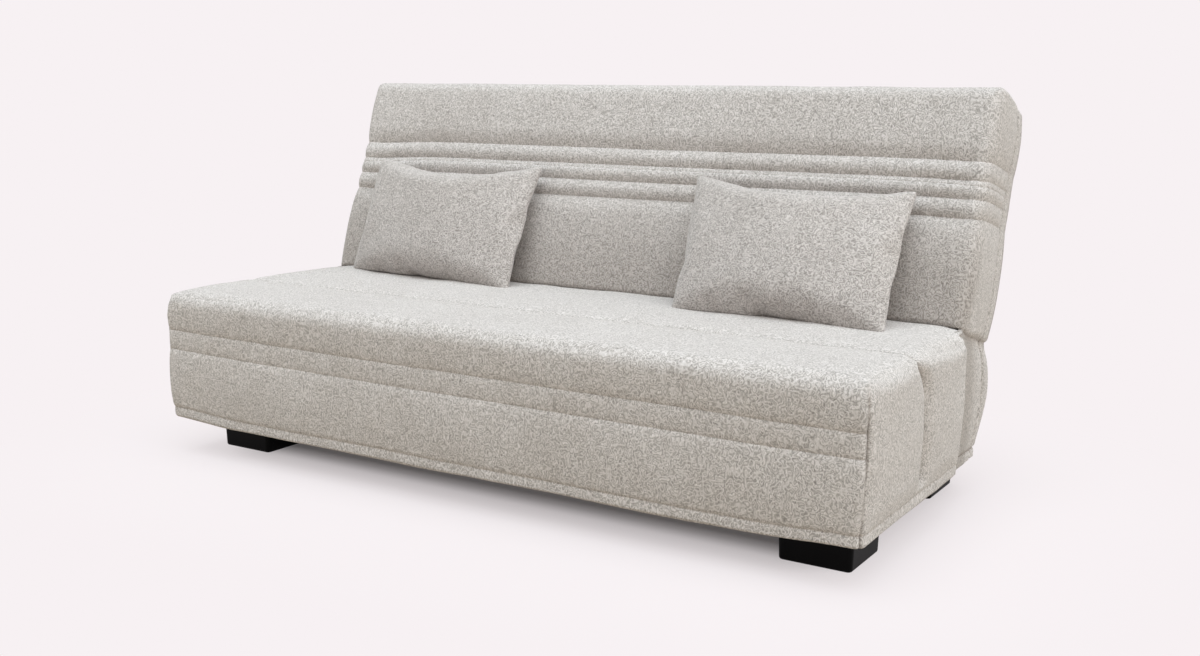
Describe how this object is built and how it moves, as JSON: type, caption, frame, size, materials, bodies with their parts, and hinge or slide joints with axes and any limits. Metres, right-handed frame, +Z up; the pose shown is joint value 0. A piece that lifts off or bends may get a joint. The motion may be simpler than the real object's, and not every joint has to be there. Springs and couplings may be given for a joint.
{
  "type": "sofa bed",
  "caption": "Folding sofa bed in short-pile fabric: slatted seat and folding back on a swinging steel frame with block feet and loose cushions.",
  "frame": {"origin": "on the floor, at the middle of the overall width and depth", "axes": "+X along the sofa to the right as seen from the front, +Y to the rear, +Z up"},
  "size_m": [1.95, 1.0256, 0.975],
  "materials": {
    "cover_fabric": "short pile, matt",
    "rear_cloth": "woven, matt",
    "foam": "open-cell foam",
    "slat_wood": "bent ply, satin",
    "black_plastic": "satin",
    "frame_steel": "powder coat",
    "zinc_steel": "zinc plated"
  },
  "bodies": {
    "base": {"foot_front_left": "black_plastic", "foot_front_right": "black_plastic", "foot_rear_left": "black_plastic", "foot_rear_right": "black_plastic", "base_side_rail_left": "frame_steel", "base_side_rail_right": "frame_steel", "base_front_rail": "frame_steel", "base_rear_rail": "frame_steel", "foot_bolts": "zinc_steel", "pivot_bracket_front_left": "frame_steel", "pivot_bracket_front_right": "frame_steel", "pivot_bracket_rear_left": "frame_steel", "pivot_bracket_rear_right": "frame_steel", "base_pivot_bolts": "zinc_steel", "arm_stop_pins": "zinc_steel", "rear_skirt": "cover_fabric", "skirt_batten": "frame_steel"},
    "front_arms": {"front_link_left": "frame_steel", "front_link_right": "frame_steel", "front_torsion_tube": "frame_steel"},
    "rear_arms": {"rear_link_left": "frame_steel", "rear_link_right": "frame_steel", "rear_torsion_tube": "frame_steel"},
    "seat": {"carriage_rail_left": "frame_steel", "carriage_rail_right": "frame_steel", "seat_front_rail": "frame_steel", "seat_middle_rail": "frame_steel", "seat_rear_rail": "frame_steel", "seat_side_rail_left": "frame_steel", "seat_side_rail_right": "frame_steel", "carriage_pivot_bolts": "zinc_steel", "carriage_bolts": "zinc_steel", "seat_slats": "slat_wood", "seat_slat_caps": "black_plastic", "seat_hinge_plate_left": "zinc_steel", "seat_hinge_plate_right": "zinc_steel", "hinge_pivot_bolts": "zinc_steel", "seat_hinge_bolts": "zinc_steel", "seat_mattress": "foam", "seat_top_cover": "cover_fabric", "seat_front_panel": "cover_fabric", "seat_side_panel_left": "cover_fabric", "seat_side_panel_right": "cover_fabric"},
    "back": {"back_lower_rail": "frame_steel", "back_upper_rail": "frame_steel", "back_side_rail_left": "frame_steel", "back_side_rail_right": "frame_steel", "back_slats": "slat_wood", "back_slat_caps": "black_plastic", "back_hinge_plate_left": "zinc_steel", "back_hinge_plate_right": "zinc_steel", "back_stop_pins": "zinc_steel", "back_hinge_bolts": "zinc_steel", "back_mattress": "foam", "back_front_cover": "cover_fabric", "back_rear_panel": "rear_cloth"},
    "cushion_left": {"cushion_left": "cover_fabric"},
    "cushion_right": {"cushion_right": "cover_fabric"}
  },
  "joints": [
    {"name": "front_arm_swing", "type": "hinge", "parent": "base", "child": "front_arms", "pos_m": [0, -0.31278, 0.15], "axis": [1, 0, 0], "range_deg": [0, 90]},
    {"name": "rear_arm_swing", "type": "hinge", "parent": "base", "child": "rear_arms", "pos_m": [0, -0.01278, 0.15], "axis": [1, 0, 0], "range_deg": [0, 90]},
    {"name": "seat_level", "type": "hinge", "parent": "front_arms", "child": "seat", "pos_m": [0, -0.2128, 0.24999], "axis": [1, 0, 0], "range_deg": [-90, 0]},
    {"name": "back_recline", "type": "hinge", "parent": "seat", "child": "back", "pos_m": [0, 0.15072, 0.412], "axis": [-1, 0, 0], "range_deg": [0, 70], "deforming": ["rear_skirt"]},
    {"name": "cushion_left_lift", "type": "slide", "parent": "seat", "child": "cushion_left", "axis": [0, 0, 1], "range_m": [0, 0.6]},
    {"name": "cushion_right_lift", "type": "slide", "parent": "seat", "child": "cushion_right", "axis": [0, 0, 1], "range_m": [0, 0.6]}
  ],
  "couplings": [
    {"joint": "rear_arm_swing", "follows": "front_arm_swing", "ratio": 1},
    {"joint": "seat_level", "follows": "front_arm_swing", "ratio": -1}
  ]
}
